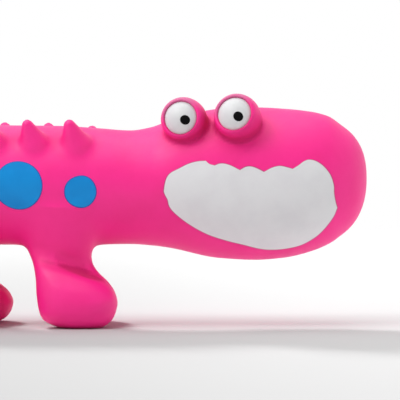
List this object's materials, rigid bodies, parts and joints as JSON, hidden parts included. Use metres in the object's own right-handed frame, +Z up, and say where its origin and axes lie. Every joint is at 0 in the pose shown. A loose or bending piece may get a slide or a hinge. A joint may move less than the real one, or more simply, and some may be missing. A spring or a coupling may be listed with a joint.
{
  "type": "latex dog toy",
  "caption": "Squeaky latex chew toy for dogs, shaped as a standing crocodile with its eyes and a wide grin on its right side; fibre filled.",
  "frame": {"origin": "centre of the bounding box, on the floor under the feet", "axes": "+X to the snout, +Y to the toy's left side, +Z up; the face looks to -Y"},
  "size_m": [0.24, 0.0588, 0.0887],
  "materials": {
    "pink_latex": "satin",
    "white_coat": "satin",
    "blue_coat": "satin",
    "black_coat": "gloss",
    "fibre_fill": "matte",
    "squeaker_plastic": "gloss",
    "reed_plastic": "gloss"
  },
  "bodies": {
    "toy": {"head_skin": "pink_latex", "torso_skin": "pink_latex", "tail_skin": "pink_latex", "front_right_leg_skin": "pink_latex", "front_left_leg_skin": "pink_latex", "rear_right_leg_skin": "pink_latex", "rear_left_leg_skin": "pink_latex", "belly_plug": "pink_latex", "squeaker_bladder": "squeaker_plastic", "squeaker_barrel": "squeaker_plastic", "squeaker_reed_seat": "squeaker_plastic", "squeaker_wedge": "squeaker_plastic", "head_fill": "fibre_fill", "torso_fill": "fibre_fill", "tail_fill": "fibre_fill", "front_right_leg_fill": "fibre_fill", "front_left_leg_fill": "fibre_fill", "rear_right_leg_fill": "fibre_fill", "rear_left_leg_fill": "fibre_fill", "mouth_coat": "white_coat", "rear_eye_white": "white_coat", "rear_pupil": "black_coat", "front_eye_white": "white_coat", "front_pupil": "black_coat", "right_shoulder_spot": "blue_coat", "left_shoulder_spot": "blue_coat", "right_flank_spot": "blue_coat", "left_flank_spot": "blue_coat", "right_rump_spot": "blue_coat", "left_rump_spot": "blue_coat", "right_tail_root_spot": "blue_coat", "left_tail_root_spot": "blue_coat", "right_tail_spot": "blue_coat", "left_tail_spot": "blue_coat"},
    "reed": {"squeaker_reed": "reed_plastic"}
  },
  "joints": [
    {"name": "reed_flex", "type": "hinge", "parent": "toy", "child": "reed", "pos_m": [-0.02, 0, 0.0527], "axis": [0, 1, 0], "range_deg": [-4, 3], "stiffness_Nm_per_rad": 0.0001}
  ]
}
